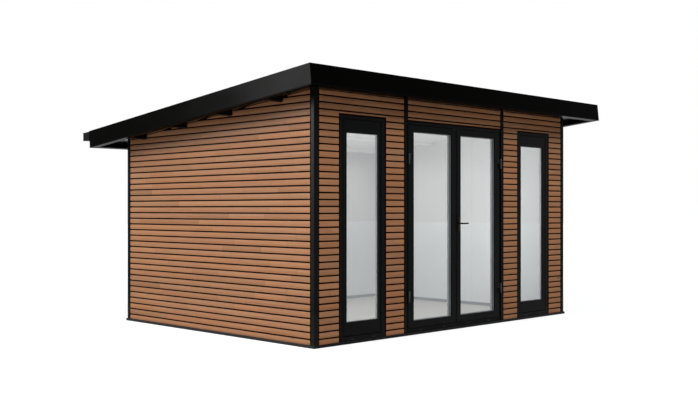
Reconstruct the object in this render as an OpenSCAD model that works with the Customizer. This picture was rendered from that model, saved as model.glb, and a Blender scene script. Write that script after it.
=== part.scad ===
// Garden room with a single-pitch roof: slatted timber walls, a glazed double
// door between two tall side windows, and a flat roof that falls to a rear gutter.
// The origin is the middle of the footprint on the ground. +X runs to the right
// along the front, +Y runs to the back, and +Z is up.

/* [Footprint] */
// Width over the corner posts
body_w = 4000; // [3800:10:4600]
// Depth over the corner posts
body_d = 3036; // [2800:2:3600]
// Height of the base rail and of the floor
base_h = 25; // [18:1:40]
// How far the base rail stands out past the corner posts
base_proud = 10; // [0:1:20]

/* [Walls] */
// Thickness of the insulated wall panels
panel_t = 85; // [60:1:120]
// Thickness of the timber cladding
clad_t = 18; // [14:1:24]
// How far the cladding sits behind the face of the corner posts
clad_setback = 2; // [0:1:6]
// Width of the dark joint between the cladding and a frame
clad_gap = 15; // [8:1:25]
// Width of a corner post on the front and the back
post_w = 49; // [30:1:70]
// Width of a corner post on the sides
post_side_w = 43; // [30:1:70]
// Width of the dark joint beside a corner post or a mullion
post_gap = 14; // [6:1:20]
// Height of the skirting
skirting_h = 35; // [25:1:80]
// Thickness of the skirting
skirting_t = 12; // [8:1:18]

/* [Roof] */
// Rise from the top of the door and window frames to the roof's front edge
head_to_roof = 374; // [330:1:440]
// Fall of the roof towards the back, in degrees
roof_pitch = 5.8; // [4:0.1:7]
// Overhang of the roof past the front posts
front_overhang = 272; // [180:1:400]
// Overhang of the roof past the side posts
side_overhang = 303; // [180:1:400]
// Overhang of the roof past the back posts
rear_overhang = 299; // [180:1:400]
// Depth of the fascia
fascia_h = 187; // [175:1:220]
// Thickness of the boxed fascia
fascia_t = 70; // [50:1:80]
// Width of the trim that folds over the roof's edge
trim_w = 92; // [82:1:120]
// Thickness of that trim
trim_t = 3; // [2:0.5:5]
// Height of the drip lip at the foot of the fascia
lip_h = 9; // [8:1:16]
// How far the drip lip stands out
lip_out = 3; // [2:1:6]
// Thickness of the roof covering
membrane_t = 8; // [4:1:12]
// Depth of the soffit below the roof's top
soffit_depth = 136; // [110:1:140]

/* [Purlins] */
// Number of purlins
purlin_count = 4; // [3:1:5]
// Width of a purlin
purlin_w = 52; // [40:1:70]
// Height of a purlin
purlin_h = 110; // [80:1:115]
// How far a purlin hangs below the soffit
purlin_drop = 38; // [20:1:45]
// Distance of the first purlin's middle from the front edge, along the slope
purlin_front = 737; // [600:1:800]
// Distance of the last purlin's middle from the rear edge, along the slope
purlin_rear = 638; // [600:1:700]

/* [Gutter] */
// Width of the gutter outside
gutter_w = 124; // [100:1:160]
// Height of the gutter's back
gutter_h = 97; // [80:1:110]
// How much lower the gutter's outer lip is than its back
gutter_fall = 10; // [0:1:20]
// Thickness of the gutter's sheet
gutter_t = 3; // [2:0.5:5]
// Distance of the gutter's back edge below the roof's top
gutter_drop = 6; // [4:1:20]
// Radius of the bead along the gutter's outer lip
bead_r = 4; // [3:0.5:6]
// Outside radius of the outlet spigot, for a downpipe
spigot_r = 25; // [20:1:34]
// Length of the outlet spigot below the gutter
spigot_l = 45; // [30:1:70]
// Distance of the outlet from the gutter's right end
outlet_inset = 250; // [200:1:400]
// Number of gutter brackets
bracket_count = 6; // [4:1:9]
// Width of a gutter bracket
bracket_w = 30; // [20:1:40]

/* [Openings] */
// Height of the top of the door and window frames
head_z = 2084; // [2050:1:2110]
// Clear width between the door's jambs
door_w = 1506; // [1400:2:1600]
// Width of a side window's frame
window_w = 597; // [500:1:640]
// Width of the cladding between the door and a side window
pier_w = 254; // [200:1:300]
// Setback of the door and window faces behind the corner posts
face_setback = 8; // [4:1:14]

/* [Door frame] */
// Width of a mullion's face
mullion_w = 31; // [24:1:44]
// Width of a door jamb
jamb_w = 40; // [34:1:60]
// Height of the door's head
door_head_h = 28; // [24:1:60]
// Height of the door's threshold
threshold_h = 36; // [25:1:50]
// Overlap of the door stop behind a leaf
stop_lap = 20; // [12:1:30]

/* [Door leaves] */
// Gap between a leaf and its jamb
jamb_gap = 8; // [6:1:12]
// Gap between a leaf and the head, the threshold and the stop
leaf_gap = 5; // [5:1:8]
// Gap between the two leaves
meeting_gap = 10; // [9:1:14]
// Width of a leaf's meeting stile
stile_w = 77; // [60:1:100]
// Width of a leaf's hinge stile
hinge_stile_w = 92; // [60:1:110]
// Height of a leaf's bottom rail
bottom_rail_h = 70; // [60:1:100]
// Height of a leaf's top rail
top_rail_h = 65; // [50:1:100]
// Depth of a leaf, from front to back
leaf_t = 60; // [52:1:70]

/* [Side windows] */
// Width of the fixed frame's face
frame_w = 46; // [36:1:56]
// Height of the fixed frame's head
frame_top_h = 28; // [24:1:56]
// Depth of the fixed frame
frame_t = 70; // [60:1:80]
// Width of the sash's stile beside the door
sash_w = 32; // [28:1:44]
// Width of the sash's stile beside the corner
sash_outer_w = 54; // [28:1:70]
// Height of the sash's top rail
sash_top_h = 125; // [80:1:150]
// Height of the sash's bottom rail
sash_bottom_h = 129; // [60:1:150]
// Height of the sill
sill_h = 41; // [30:1:60]
// Step of the sash behind the fixed frame
sash_step = 3; // [2:1:10]
// Depth of the sash
sash_t = 56; // [50:1:60]

/* [Glass] */
// Thickness of a double-glazed pane
glass_t = 24; // [18:1:28]
// Depth of a door's glass behind the face of its leaf
leaf_glass_in = 27; // [16:1:30]
// Depth of a window's glass behind the face of its sash
sash_glass_in = 19; // [12:1:24]
// Depth of the groove that holds a pane's edge
glass_edge = 12; // [8:1:16]
// Width of the bevel round a door's pane, on both faces of the leaf
leaf_bevel = 9; // [4:1:14]
// Width of the bevel round a window's pane, on both faces of the sash
sash_bevel = 8; // [3:1:10]

/* [Hinges and handle] */
// Height of the lower hinge's middle
hinge_low_z = 375; // [250:1:500]
// Distance of the upper hinge's middle below the top of the frames
hinge_drop = 364; // [250:1:500]
// Height of a hinge
hinge_h = 107; // [80:1:140]
// Radius of a hinge's barrel
barrel_r = 8; // [6:0.5:9]
// Radius of a hinge's pin
pin_r = 4; // [3:0.5:5]
// Radial clearance of the pin and of the handle's neck
running_gap = 0.05; // [0.02:0.01:0.1]
// Thickness of a hinge's plates
hinge_t = 3; // [2:0.5:4]
// Height of the handle's spindle above the ground
handle_z = 1082; // [950:1:1150]
// Distance from the spindle to the lever's end
lever_l = 106; // [90:1:150]
// Radius of the lever's grip
grip_r = 8; // [6:0.5:9]
// Height of the handle's backplate
plate_h = 140; // [134:1:240]
// Width of the handle's backplate
plate_w = 32; // [28:1:40]
// Thickness of the handle's backplate
plate_t = 8; // [6:1:12]
// Distance of the key's hole below the spindle
key_drop = 58; // [52:1:64]
// Radius of the lock cylinder
key_r = 8.5; // [7:0.5:11]

/* [Hidden] */
$fn = 48;

timber = "#b4744f";
black = "#1c1e20";
anthracite = "#26282b";
white = "#e6e6e3";
glass_tint = [0.75, 0.82, 0.86, 0.4];

seat_gap = 0.3;                          // between faces that only bear on each other
half_w = body_w / 2;
half_d = body_d / 2;
roof_h = head_z + head_to_roof;
panel_out = clad_setback + clad_t;       // post face to the panel's outer face
panel_in = panel_out + panel_t;          // post face to the panel's inner face
room_x = half_w - panel_in;
room_y = half_d - panel_in;

roof_front_y = -half_d - front_overhang;
roof_rear_y = half_d + rear_overhang;
roof_w = body_w + 2 * side_overhang;
roof_l = (roof_rear_y - roof_front_y) / cos(roof_pitch);
deck_top = trim_t + membrane_t;
purlin_pitch = (roof_l - purlin_front - purlin_rear) / (purlin_count - 1);

door_half = door_w / 2;
zone_w = mullion_w + 2 * post_gap;       // mullion with its two joints
pier_in_x = door_half + zone_w;          // cladding's edge beside the door
window_clad_x = pier_in_x + pier_w;      // cladding's edge beside the window
window_x = window_clad_x + clad_gap;     // window frame's inner edge
window_out_x = window_x + window_w;
pier_out_x = window_out_x + clad_gap;
clad_end_x = half_w - post_w - post_gap;
jamb_x = door_half + jamb_w;

threshold_top = base_h + threshold_h;
leaf_low = threshold_top + leaf_gap;
leaf_high = head_z - door_head_h - leaf_gap;
leaf_outline = [meeting_gap / 2, door_half - jamb_gap, leaf_low, leaf_high];
leaf_sight = [leaf_outline[0] + stile_w, leaf_outline[1] - hinge_stile_w,
    leaf_low + bottom_rail_h, leaf_high - top_rail_h];
leaf_back = face_setback + leaf_t;
stop_front = leaf_back + leaf_gap;

sash_outline = [window_x + frame_w, window_out_x - frame_w,
    base_h + sill_h, head_z - frame_top_h];
sash_sight = [sash_outline[0] + sash_w, sash_outline[1] - sash_outer_w,
    sash_outline[2] + sash_bottom_h, sash_outline[3] - sash_top_h];

barrel_y = -barrel_r - 0.5;              // barrel's axis, from the post face
barrel_x = door_half - jamb_gap / 2;
knuckle_gap = 0.3;
knuckle_h = (hinge_h - knuckle_gap) / 2;
cap_h = 3;                               // bevelled end of a knuckle

threshold_nose = 8;                      // sloping nose of the threshold
sill_nose = 6;                           // how far a window's sill stands out
sash_reveal = 1;                         // flat step between a frame's bevel and its sash
bracket_inset = 130;                     // roof's end to the end bracket's middle
bracket_tail = 45;                       // bracket's tail below the gutter
bracket_foot_t = 4;
bracket_top = 12;                        // gutter's back edge to the bracket's top

spindle_x = meeting_gap / 2 + stile_w / 2;
neck_r = 9;
spindle_r = 6;
lever_reach = 42;                        // leaf face to the grip's middle
elbow_r = 16;                            // bend between the neck and the grip
key_below = 22;                          // key's hole to the backplate's lower end
key_proud = 2;                           // lock cylinder above the backplate
keyhole_r = 2.2;

// Distance of a plane behind the face of the front posts, as a Y coordinate.
function front(d) = -half_d + d;
// Height of a plane that lies a given depth below the roof's top.
function roof_z(y, depth) =
    roof_h - (y - roof_front_y) * tan(roof_pitch) - depth / cos(roof_pitch);

roof_rear_z = roof_z(roof_rear_y, 0);
gutter_top = roof_rear_z - gutter_drop;
gutter_low = gutter_top - gutter_h;
gutter_y = rear_face_y(gutter_top) + seat_gap;
outlet_x = roof_w / 2 - outlet_inset;
outlet_y = gutter_y + gutter_w / 2;

// Y coordinate of the rear fascia's leaning face at a given height.
function rear_face_y(z) = roof_rear_y - (roof_rear_z - z) * tan(roof_pitch);

// Roof frame: X across, Y down the slope from the front edge, Z off the roof.
module on_roof() {
    translate([0, roof_front_y, roof_h]) rotate([-roof_pitch, 0, 0]) children();
}

module box(x0, x1, y0, y1, z0, z1) {
    translate([x0, y0, z0]) cube([x1 - x0, y1 - y0, z1 - z0]);
}

// Upright block whose top follows the soffit.
module under_soffit(x0, x1, y0, y1, z0) {
    translate([x0, 0, 0]) rotate([90, 0, 90]) linear_extrude(x1 - x0)
        polygon([[y0, z0], [y1, z0], [y1, roof_z(y1, soffit_depth + seat_gap)],
            [y0, roof_z(y0, soffit_depth + seat_gap)]]);
}

module mirror_x() {
    mirror([1, 0, 0]) children();
}

module base_frame() {
    color(black) difference() {
        box(-half_w - base_proud, half_w + base_proud,
            -half_d - base_proud, half_d + base_proud, 0, base_h);
        box(-room_x, room_x, -room_y, room_y, -1, base_h + 1);
    }
}

module floor_deck() {
    color("#d8d5cf") box(-room_x, room_x, -room_y, room_y, 0, base_h);
}

module skirting() {
    run_gap = 0.5;
    side_y = room_y - skirting_t - run_gap;
    color("#8d9092") {
        box(-room_x, room_x, room_y - skirting_t, room_y, base_h, base_h + skirting_h);
        for (s = [0, 1]) mirror([s, 0, 0]) {
            box(room_x - skirting_t, room_x, -side_y, side_y,
                base_h, base_h + skirting_h);
            box(window_out_x, room_x, -room_y, -room_y + skirting_t,
                base_h, base_h + skirting_h);
            box(jamb_x, window_x, -room_y, -room_y + skirting_t,
                base_h, base_h + skirting_h);
        }
    }
}

module purlin_bars() {
    on_roof() for (i = [0 : purlin_count - 1])
        translate([0, purlin_front + i * purlin_pitch, -soffit_depth - purlin_drop])
            translate([-roof_w / 2 + fascia_t, -purlin_w / 2, 0])
                cube([roof_w - 2 * fascia_t, purlin_w, purlin_h]);
}

module purlins() {
    color(black) purlin_bars();
}

module side_wall() {
    difference() {
        under_soffit(room_x, room_x + panel_t, -half_d + panel_out,
            half_d - panel_out, base_h);
        purlin_bars();
    }
}

module left_wall() {
    color(white) mirror_x() side_wall();
}

module right_wall() {
    color(white) side_wall();
}

module back_wall() {
    color(white) under_soffit(-room_x, room_x, room_y, room_y + panel_t, base_h);
}

module front_panel(x0, x1, z0) {
    color(white) under_soffit(x0, x1, front(panel_out), front(panel_in), z0);
}

module front_left_outer_pier() {
    front_panel(-room_x, -window_out_x, base_h);
}

module front_left_inner_pier() {
    front_panel(-window_x, -jamb_x, base_h);
}

module front_right_inner_pier() {
    front_panel(jamb_x, window_x, base_h);
}

module front_right_outer_pier() {
    front_panel(window_out_x, room_x, base_h);
}

module front_headers() {
    front_panel(-window_out_x, -window_x, head_z);
    front_panel(-jamb_x, jamb_x, head_z);
    front_panel(window_x, window_out_x, head_z);
}

module side_cladding() {
    joint = post_side_w + post_gap;
    difference() {
        under_soffit(half_w - panel_out, half_w - clad_setback,
            -half_d + joint, half_d - joint, base_h);
        purlin_bars();
    }
}

module left_cladding() {
    color(timber) mirror_x() side_cladding();
}

module right_cladding() {
    color(timber) side_cladding();
}

module back_cladding() {
    color(timber) under_soffit(-clad_end_x, clad_end_x,
        half_d - panel_out, half_d - clad_setback, base_h);
}

module front_cladding() {
    cut = 0.5;
    y0 = front(clad_setback);
    y1 = front(panel_out);
    lintel_z = head_z + clad_gap;
    color(timber) {
        for (s = [0, 1]) mirror([s, 0, 0]) {
            under_soffit(pier_in_x, window_clad_x, y0, y1, base_h);
            under_soffit(pier_out_x, clad_end_x, y0, y1, base_h);
            under_soffit(window_clad_x + cut, pier_out_x - cut, y0, y1, lintel_z);
        }
        under_soffit(-door_half, door_half, y0, y1, lintel_z);
    }
}

// Angle profile around one corner with a rounded arris, cut to the children's top.
module corner_post() {
    r = 5;
    intersection() {
        linear_extrude(roof_h) translate([half_w, half_d]) {
            polygon([[0, -r], [0, -post_side_w], [-panel_out, -post_side_w],
                [-panel_out, -panel_out], [-post_w, -panel_out], [-post_w, 0],
                [-r, 0], [-r, -r]]);
            translate([-r, -r]) circle(r);
        }
        children();
    }
}

module corner_posts() {
    color(black) for (sx = [0, 1]) mirror([sx, 0, 0]) {
        corner_post() under_soffit(0, half_w, 0, half_d, base_h);
        mirror([0, 1, 0]) corner_post()
            mirror([0, 1, 0]) under_soffit(0, half_w, -half_d, 0, base_h);
    }
}

// Each mullion is a channel: a face strip on two thin legs.
module door_mullions() {
    x0 = door_half + post_gap;
    leg_t = 3;
    color(black) for (s = [0, 1]) mirror([s, 0, 0]) difference() {
        under_soffit(x0, x0 + mullion_w, front(0), front(panel_out), base_h);
        box(x0 + leg_t, x0 + mullion_w - leg_t, front(leg_t), front(panel_out) + 1,
            base_h - 1, roof_h);
    }
}

// Door jamb with the stop that the leaf closes against.
module jamb() {
    box(door_half, jamb_x, front(panel_out), front(panel_in),
        threshold_top, head_z - door_head_h);
    box(door_half - stop_lap, jamb_x, front(stop_front), front(panel_in),
        threshold_top, head_z - door_head_h);
}

module door_left_jamb() {
    color(anthracite) mirror_x() jamb();
}

module door_right_jamb() {
    color(anthracite) jamb();
}

module door_head() {
    head_low = head_z - door_head_h;
    color(anthracite) {
        box(-jamb_x, jamb_x, front(panel_out), front(panel_in), head_low, head_z);
        box(-door_half, door_half, front(face_setback), front(panel_in),
            head_low, head_z);
        box(-door_half + stop_lap, door_half - stop_lap, front(stop_front),
            front(panel_in), head_low - stop_lap, head_z);
    }
}

// Bar along X with a profile given in Y and Z.
module bar(x0, x1, profile) {
    translate([x0, 0, 0]) rotate([90, 0, 90]) linear_extrude(x1 - x0) polygon(profile);
}

// Threshold: a sill with a sloping nose, and a stop behind the leaves.
module door_threshold() {
    nose = threshold_nose;
    face = front(face_setback);
    color(anthracite) {
        box(-jamb_x, jamb_x, front(panel_out), front(panel_in), base_h, threshold_top);
        bar(-door_half, door_half, [[face, base_h], [front(panel_in), base_h],
            [front(panel_in), threshold_top], [face + nose / 2, threshold_top],
            [face, threshold_top - nose]]);
        box(-door_half + stop_lap, door_half - stop_lap, front(stop_front),
            front(panel_in), base_h, threshold_top + stop_lap);
    }
}

// Solid between a rectangle in the XZ plane at y0 and one that is smaller by
// abs(run) on every side at y0 + run.
module taper(x0, x1, z0, z1, y0, run) {
    w = abs(run);
    intersection() {
        translate([0, 0, z0]) linear_extrude(z1 - z0)
            polygon([[x0, y0], [x1, y0], [x1 - w, y0 + run], [x0 + w, y0 + run]]);
        bar(x0, x1, [[y0, z0], [y0, z1], [y0 + run, z1 - w], [y0 + run, z0 + w]]);
    }
}

// Rectangular ring in the XZ plane, bevelled towards its pane on both faces,
// with a groove for the pane's edge. Outline and daylight opening are both given
// as [x0, x1, z0, z1].
module glazed_ring(outline, sight, y0, depth, glass_in, bevel) {
    b = bevel;
    difference() {
        box(outline[0], outline[1], y0, y0 + depth, outline[2], outline[3]);
        box(sight[0], sight[1], y0 - 1, y0 + depth + 1, sight[2], sight[3]);
        for (face = [[y0, b], [y0 + depth, -b]])
            taper(sight[0] - b, sight[1] + b, sight[2] - b, sight[3] + b,
                face[0], face[1]);
        pane(sight, y0 + glass_in);
    }
}

// Pane that fills such an opening and the groove round it, with its face at y0.
module pane(sight, y0) {
    e = glass_edge;
    box(sight[0] - e, sight[1] + e, y0, y0 + glass_t, sight[2] - e, sight[3] + e);
}

// Fixed frame with a bevelled inner edge and a sill whose nose slopes outwards.
module window_frame() {
    x0 = window_x + frame_w;
    x1 = window_out_x - frame_w;
    z0 = base_h + sill_h;
    z1 = head_z - frame_top_h;
    face = front(face_setback);
    edge = sash_step - sash_reveal;
    nose = sill_nose;
    color(anthracite) difference() {
        union() {
            box(window_x, window_out_x, face, face + frame_t, base_h, head_z);
            bar(window_x, window_out_x, [[face + frame_t / 2, base_h],
                [face + frame_t / 2, z0 - edge], [face, z0 - edge],
                [face - nose, z0 - edge - nose], [face - nose, base_h]]);
        }
        box(x0, x1, front(-1), front(panel_in), z0, z1);
        taper(x0 - edge, x1 + edge, z0 - edge, z1 + edge, face, edge);
    }
}

module window_sash_ring() {
    glazed_ring(sash_outline, sash_sight, front(face_setback + sash_step), sash_t,
        sash_glass_in, sash_bevel);
}

module window_pane() {
    color(glass_tint)
        pane(sash_sight, front(face_setback + sash_step + sash_glass_in));
}

module left_window_frame() {
    mirror_x() window_frame();
}

module left_window_sash() {
    color(anthracite) mirror_x() window_sash_ring();
}

module left_window_glass() {
    mirror_x() window_pane();
}

module right_window_frame() {
    window_frame();
}

module right_window_sash() {
    color(anthracite) window_sash_ring();
}

module right_window_glass() {
    window_pane();
}

module leaf_ring() {
    glazed_ring(leaf_outline, leaf_sight, front(face_setback), leaf_t, leaf_glass_in,
        leaf_bevel);
}

module leaf_pane() {
    color(glass_tint) pane(leaf_sight, front(face_setback + leaf_glass_in));
}

module left_leaf_frame() {
    color(anthracite) mirror_x() leaf_ring();
}

module left_leaf_glass() {
    mirror_x() leaf_pane();
}

module right_leaf_frame() {
    color(anthracite) difference() {
        leaf_ring();
        translate([spindle_x, front(0), handle_z]) rotate([-90, 0, 0])
            cylinder(r = neck_r + 3, h = leaf_back + 1);
    }
}

module right_leaf_glass() {
    leaf_pane();
}

// Knuckle that stands on the XY plane, with a bevelled end below.
module knuckle() {
    cylinder(r1 = barrel_r - cap_h / 2, r2 = barrel_r, h = cap_h);
    translate([0, 0, cap_h]) cylinder(r = barrel_r, h = knuckle_h - cap_h);
}

// Lower half of a hinge: a knuckle with the pin, and a cranked plate on the jamb.
module jamb_hinge() {
    foot_w = post_gap - 1;
    translate([barrel_x, front(barrel_y), 0]) {
        knuckle();
        cylinder(r = pin_r, h = hinge_h - 2 * cap_h);
    }
    box(door_half, door_half + hinge_t, front(barrel_y), front(panel_out),
        cap_h, knuckle_h);
    box(door_half, door_half + foot_w, front(panel_out) - hinge_t, front(panel_out),
        cap_h, knuckle_h);
}

// Upper half of a hinge: a bored knuckle with a cranked plate on the leaf.
module leaf_hinge() {
    z0 = knuckle_h + knuckle_gap;
    z1 = hinge_h - cap_h;
    edge_x = door_half - jamb_gap;
    plate_l = 30;
    difference() {
        union() {
            translate([barrel_x, front(barrel_y), hinge_h]) mirror([0, 0, 1]) knuckle();
            box(edge_x - hinge_t, edge_x, front(barrel_y), front(face_setback), z0, z1);
            box(edge_x - plate_l, edge_x, front(face_setback) - hinge_t,
                front(face_setback), z0, z1);
        }
        translate([barrel_x, front(barrel_y), z0 - 1])
            cylinder(r = pin_r + running_gap, h = hinge_h - 2 * cap_h - z0 + 1.5);
    }
}

module at_hinges() {
    for (z = [hinge_low_z, head_z - hinge_drop])
        translate([0, 0, z - hinge_h / 2]) children();
}

module left_leaf_hinges() {
    color(anthracite) mirror_x() at_hinges() leaf_hinge();
}

module right_leaf_hinges() {
    color(anthracite) at_hinges() leaf_hinge();
}

module jamb_hinges() {
    color(anthracite) for (s = [0, 1]) mirror([s, 0, 0]) at_hinges() jamb_hinge();
}

// Backplate with round ends, a bore for the lever's neck, and a lock cylinder
// with a keyway below it. Its back lies in the XZ plane.
module backplate() {
    r = plate_w / 2;
    low = -key_drop - key_below + r;
    high = low + plate_h - 2 * r;
    rotate([90, 0, 0]) difference() {
        union() {
            linear_extrude(plate_t) {
                translate([-r, low]) square([plate_w, high - low]);
                translate([0, low]) circle(r);
                translate([0, high]) circle(r);
            }
            translate([0, -key_drop, 0]) cylinder(r = key_r, h = plate_t + key_proud);
        }
        translate([0, 0, -1]) cylinder(r = neck_r + running_gap, h = plate_t + 2);
        translate([0, -key_drop, plate_t - 1]) linear_extrude(key_proud + 2) {
            circle(keyhole_r);
            translate([-keyhole_r / 2, -key_r * 0.65]) square([keyhole_r, key_r * 0.65]);
        }
    }
}

module handle_plates() {
    color("#3a3d40") {
        translate([spindle_x, front(face_setback), handle_z]) backplate();
        translate([spindle_x, front(leaf_back), handle_z]) mirror([0, 1, 0]) backplate();
    }
}

// Lever: a neck that turns in the backplate, a round elbow and a straight grip
// with a ball end. It starts at the XZ plane and reaches towards -Y, then +X.
module lever() {
    neck_l = lever_reach - elbow_r;
    rotate([90, 0, 0]) cylinder(r = neck_r, h = plate_t + 2);
    rotate([90, 0, 0]) cylinder(r = grip_r, h = neck_l);
    translate([elbow_r, -neck_l, 0]) rotate([0, 0, 180]) rotate_extrude(angle = 90)
        translate([elbow_r, 0]) circle(grip_r);
    translate([elbow_r, -lever_reach, 0]) rotate([0, 90, 0])
        cylinder(r = grip_r, h = lever_l - elbow_r - grip_r);
    translate([lever_l - grip_r, -lever_reach, 0]) sphere(grip_r);
}

module outer_lever() {
    color(black) translate([spindle_x, front(face_setback), handle_z]) {
        lever();
        rotate([-90, 0, 0]) cylinder(r = spindle_r, h = leaf_t / 2);
    }
}

module inner_lever() {
    color(black) translate([spindle_x, front(leaf_back), handle_z]) mirror([0, 1, 0]) {
        lever();
        rotate([-90, 0, 0]) cylinder(r = spindle_r, h = leaf_t / 2);
    }
}

module roof_deck() {
    inset = fascia_t;
    color(white) difference() {
        on_roof() translate([-roof_w / 2 + inset, inset, -soffit_depth])
            cube([roof_w - 2 * inset, roof_l - 2 * inset, soffit_depth - deck_top]);
        purlin_bars();
    }
}

module roof_membrane() {
    color("#2b2d2f") on_roof() translate([-roof_w / 2 + fascia_t, fascia_t, -deck_top])
        cube([roof_w - 2 * fascia_t, roof_l - 2 * fascia_t, membrane_t]);
}

// Fascia along one edge of a roof of the given length: the edge lies on X, the
// roof on the +Y side. Its ends are mitred.
module fascia(length) {
    reach = max(trim_w, fascia_t);
    intersection() {
        translate([-length / 2 - lip_out, 0, 0]) rotate([90, 0, 90])
            linear_extrude(length + 2 * lip_out) polygon([[0, 0], [trim_w, 0],
                [trim_w, -trim_t], [fascia_t, -trim_t], [fascia_t, -fascia_h],
                [-lip_out, -fascia_h], [-lip_out, -fascia_h + lip_h - lip_out],
                [0, -fascia_h + lip_h]]);
        translate([0, 0, -fascia_h - 1]) linear_extrude(fascia_h + 2)
            polygon([[-length / 2 - lip_out, -lip_out], [length / 2 + lip_out, -lip_out],
                [length / 2 - reach, reach], [-length / 2 + reach, reach]]);
    }
}

module front_fascia() {
    color(black) on_roof() fascia(roof_w);
}

module rear_fascia() {
    color(black) on_roof() translate([0, roof_l, 0]) rotate(180) fascia(roof_w);
}

module left_fascia() {
    color(black) on_roof() translate([-roof_w / 2, roof_l / 2, 0]) rotate(-90)
        fascia(roof_l);
}

module right_fascia() {
    color(black) on_roof() translate([roof_w / 2, roof_l / 2, 0]) rotate(90)
        fascia(roof_l);
}

// Box gutter behind the rear fascia: a folded channel with a beaded outer lip,
// closed ends, and an outlet spigot in its floor.
module gutter() {
    y1 = gutter_y + gutter_w;
    lip_z = gutter_top - gutter_fall;
    end_x = roof_w / 2;
    outline = [[gutter_y, gutter_top], [gutter_y, gutter_low], [y1, gutter_low],
        [y1, lip_z]];
    inner = [[y1 - gutter_t, lip_z], [y1 - gutter_t, gutter_low + gutter_t],
        [gutter_y + gutter_t, gutter_low + gutter_t], [gutter_y + gutter_t, gutter_top]];
    color("#34373a") {
        difference() {
            union() {
                bar(-end_x, end_x, concat(outline, inner));
                translate([outlet_x, outlet_y, gutter_low - spigot_l])
                    cylinder(r = spigot_r, h = spigot_l + gutter_t / 2);
            }
            translate([outlet_x, outlet_y, gutter_low - spigot_l - 1])
                cylinder(r = spigot_r - gutter_t, h = spigot_l + gutter_t + 2);
        }
        for (x = [-end_x, end_x - gutter_t]) bar(x, x + gutter_t, outline);
        translate([-end_x, y1 + bead_r / 2, lip_z]) rotate([0, 90, 0])
            cylinder(r = bead_r, h = 2 * end_x);
    }
}

// Brackets between the leaning fascia and the upright gutter, with a foot below it.
module gutter_brackets() {
    span = roof_w - 2 * bracket_inset;
    foot_t = bracket_foot_t;
    top_z = gutter_top - bracket_top;
    foot_z = gutter_low - seat_gap;
    back_y = gutter_y - seat_gap;
    low_z = foot_z - bracket_tail;
    profile = [[rear_face_y(top_z) + seat_gap, top_z], [back_y, top_z],
        [back_y, foot_z], [gutter_y + gutter_w, foot_z],
        [gutter_y + gutter_w, foot_z - foot_t], [gutter_y + foot_t, low_z],
        [rear_face_y(low_z) + seat_gap, low_z]];
    color(black) for (i = [0 : bracket_count - 1]) {
        x = -span / 2 + i * span / (bracket_count - 1);
        bar(x - bracket_w / 2, x + bracket_w / 2, profile);
    }
}

base_frame();
floor_deck();
skirting();
left_wall();
right_wall();
back_wall();
front_left_outer_pier();
front_left_inner_pier();
front_right_inner_pier();
front_right_outer_pier();
front_headers();
left_cladding();
right_cladding();
back_cladding();
front_cladding();
corner_posts();
door_mullions();
door_head();
door_left_jamb();
door_right_jamb();
door_threshold();
left_window_frame();
left_window_sash();
left_window_glass();
right_window_frame();
right_window_sash();
right_window_glass();
left_leaf_frame();
left_leaf_glass();
left_leaf_hinges();
right_leaf_frame();
right_leaf_glass();
right_leaf_hinges();
jamb_hinges();
handle_plates();
outer_lever();
inner_lever();
purlins();
roof_deck();
roof_membrane();
front_fascia();
rear_fascia();
left_fascia();
right_fascia();
gutter();
gutter_brackets();
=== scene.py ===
"""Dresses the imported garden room: slatted timber, metal, glass, rubber and the small parts.

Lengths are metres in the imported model's frame: X runs along the front, which faces -Y,
and Z is up. Walls, openings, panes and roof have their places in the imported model.
"""

import math
import random

import bpy
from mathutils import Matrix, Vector


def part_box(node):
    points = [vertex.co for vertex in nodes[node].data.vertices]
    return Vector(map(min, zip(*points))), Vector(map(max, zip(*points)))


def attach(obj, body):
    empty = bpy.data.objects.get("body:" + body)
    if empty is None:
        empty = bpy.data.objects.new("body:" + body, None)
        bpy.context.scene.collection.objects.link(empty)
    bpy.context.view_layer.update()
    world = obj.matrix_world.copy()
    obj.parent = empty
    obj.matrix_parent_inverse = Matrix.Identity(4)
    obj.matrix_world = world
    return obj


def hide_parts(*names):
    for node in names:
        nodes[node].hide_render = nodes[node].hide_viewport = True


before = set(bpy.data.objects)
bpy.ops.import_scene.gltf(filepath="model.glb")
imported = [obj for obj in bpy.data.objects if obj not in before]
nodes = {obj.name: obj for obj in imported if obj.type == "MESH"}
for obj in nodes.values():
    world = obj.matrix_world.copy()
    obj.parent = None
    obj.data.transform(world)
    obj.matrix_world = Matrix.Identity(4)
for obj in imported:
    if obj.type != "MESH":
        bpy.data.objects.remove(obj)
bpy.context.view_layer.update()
scene = bpy.context.scene


# ---------------------------------------------------------------- camera
CAMERA_PLACE = (-7.6742, -7.640, 1.2326)
CAMERA_LENS = 48.917                     # millimetres on a sensor 36 wide
CAMERA_TURN = -44.93                     # degrees round Z, from a camera that faces the back
CAMERA_DIP = 0.042                       # degrees below level

camera = bpy.data.objects.new("camera", bpy.data.cameras.new("camera"))
scene.collection.objects.link(camera)
camera.data.sensor_width = 36
camera.data.lens = CAMERA_LENS
camera.location = CAMERA_PLACE
camera.rotation_euler = (math.radians(90 - CAMERA_DIP), 0, math.radians(CAMERA_TURN))
scene.camera = camera


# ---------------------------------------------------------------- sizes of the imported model
walls_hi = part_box("corner_posts")[1]     # outer corner of the walls
room_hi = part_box("floor_deck")[1]        # inner corner of the walls, and the floor's top
front_lo, front_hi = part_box("front_cladding")
side_lo, side_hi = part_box("right_cladding")
CLADDING = front_hi.y - front_lo.y       # thickness of the cladding
DOOR_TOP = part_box("door_head")[0].z      # underside of the door's head
SILL_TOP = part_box("door_threshold")[1].z
WHITE_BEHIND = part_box("left_leaf_glass")[0].y + 0.003    # frames are white past this Y


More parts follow.
